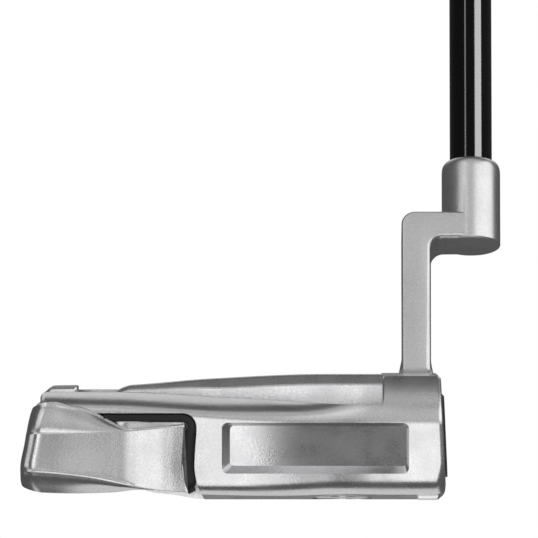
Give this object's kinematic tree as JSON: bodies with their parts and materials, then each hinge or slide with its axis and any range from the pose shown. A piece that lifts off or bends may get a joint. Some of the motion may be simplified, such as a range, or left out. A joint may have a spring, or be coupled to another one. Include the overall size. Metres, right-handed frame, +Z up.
{
  "type": "mallet putter",
  "caption": "Mallet putter with a plumber's neck, grooved face insert, flared rear wing weights on dampers, screw-in sole weights, stepped shaft and pistol grip.",
  "frame": {"origin": "on the ground, on the flat of the sole under the middle of the head", "axes": "+X out of the face towards the target, +Y to the heel, -Y to the toe, +Z up"},
  "size_m": [0.1137, 0.3711, 0.8177],
  "materials": {
    "satin_head": "fine bead-blasted satin",
    "satin_steel": "satin plated",
    "wing_steel": "satin with soft brushing",
    "black_polymer": "smooth matt",
    "insert_polymer": "grooved matt",
    "dark_screws": "black oxide",
    "weight_steel": "turned",
    "black_shaft": "gloss black",
    "grip_rubber": "textured matt",
    "grip_foam": "closed-cell foam",
    "core_foam": "foamed",
    "tape": "double-sided tape",
    "glue": "cured epoxy",
    "sight_paint": "paint fill",
    "dark_plate": "black anodised"
  },
  "bodies": {
    "club": {"head_body": "satin_head", "sight_line": "sight_paint", "face_insert": "insert_polymer", "insert_tape": "tape", "toe_wing_weight": "wing_steel", "heel_wing_weight": "wing_steel", "toe_damper": "black_polymer", "heel_damper": "black_polymer", "toe_wing_screws": "dark_screws", "heel_wing_screws": "dark_screws", "wing_screw_grommets": "black_polymer", "sole_plate": "dark_plate", "sole_plate_screws": "dark_screws", "foam_core": "core_foam", "hosel_neck": "satin_steel", "neck_set_screw": "dark_screws", "shaft_bond": "glue", "shaft": "black_shaft", "shaft_tip_plug": "black_polymer", "grip_sleeve": "grip_rubber", "grip_core": "grip_foam", "grip_tape": "tape", "grip_cap": "black_polymer"},
    "toe_washer": {"toe_weight_washer": "black_polymer"},
    "toe_weight": {"toe_sole_weight": "weight_steel"},
    "heel_washer": {"heel_weight_washer": "black_polymer"},
    "heel_weight": {"heel_sole_weight": "weight_steel"}
  },
  "joints": [
    {"name": "toe_weight_travel", "type": "slide", "parent": "club", "child": "toe_washer", "axis": [0, 0, -1], "range_m": [0, 0.00651]},
    {"name": "toe_weight_turn", "type": "hinge", "parent": "toe_washer", "child": "toe_weight", "pos_m": [0.024, -0.0345, 0], "axis": [0, 0, -1], "range_deg": [0, 1872]},
    {"name": "heel_weight_travel", "type": "slide", "parent": "club", "child": "heel_washer", "axis": [0, 0, -1], "range_m": [0, 0.00651]},
    {"name": "heel_weight_turn", "type": "hinge", "parent": "heel_washer", "child": "heel_weight", "pos_m": [0.024, 0.0345, 0], "axis": [0, 0, -1], "range_deg": [0, 1872]}
  ],
  "couplings": [
    {"joint": "toe_weight_travel", "follows": "toe_weight_turn", "m_per_rad": 0.00019894},
    {"joint": "heel_weight_travel", "follows": "heel_weight_turn", "m_per_rad": 0.00019894}
  ]
}
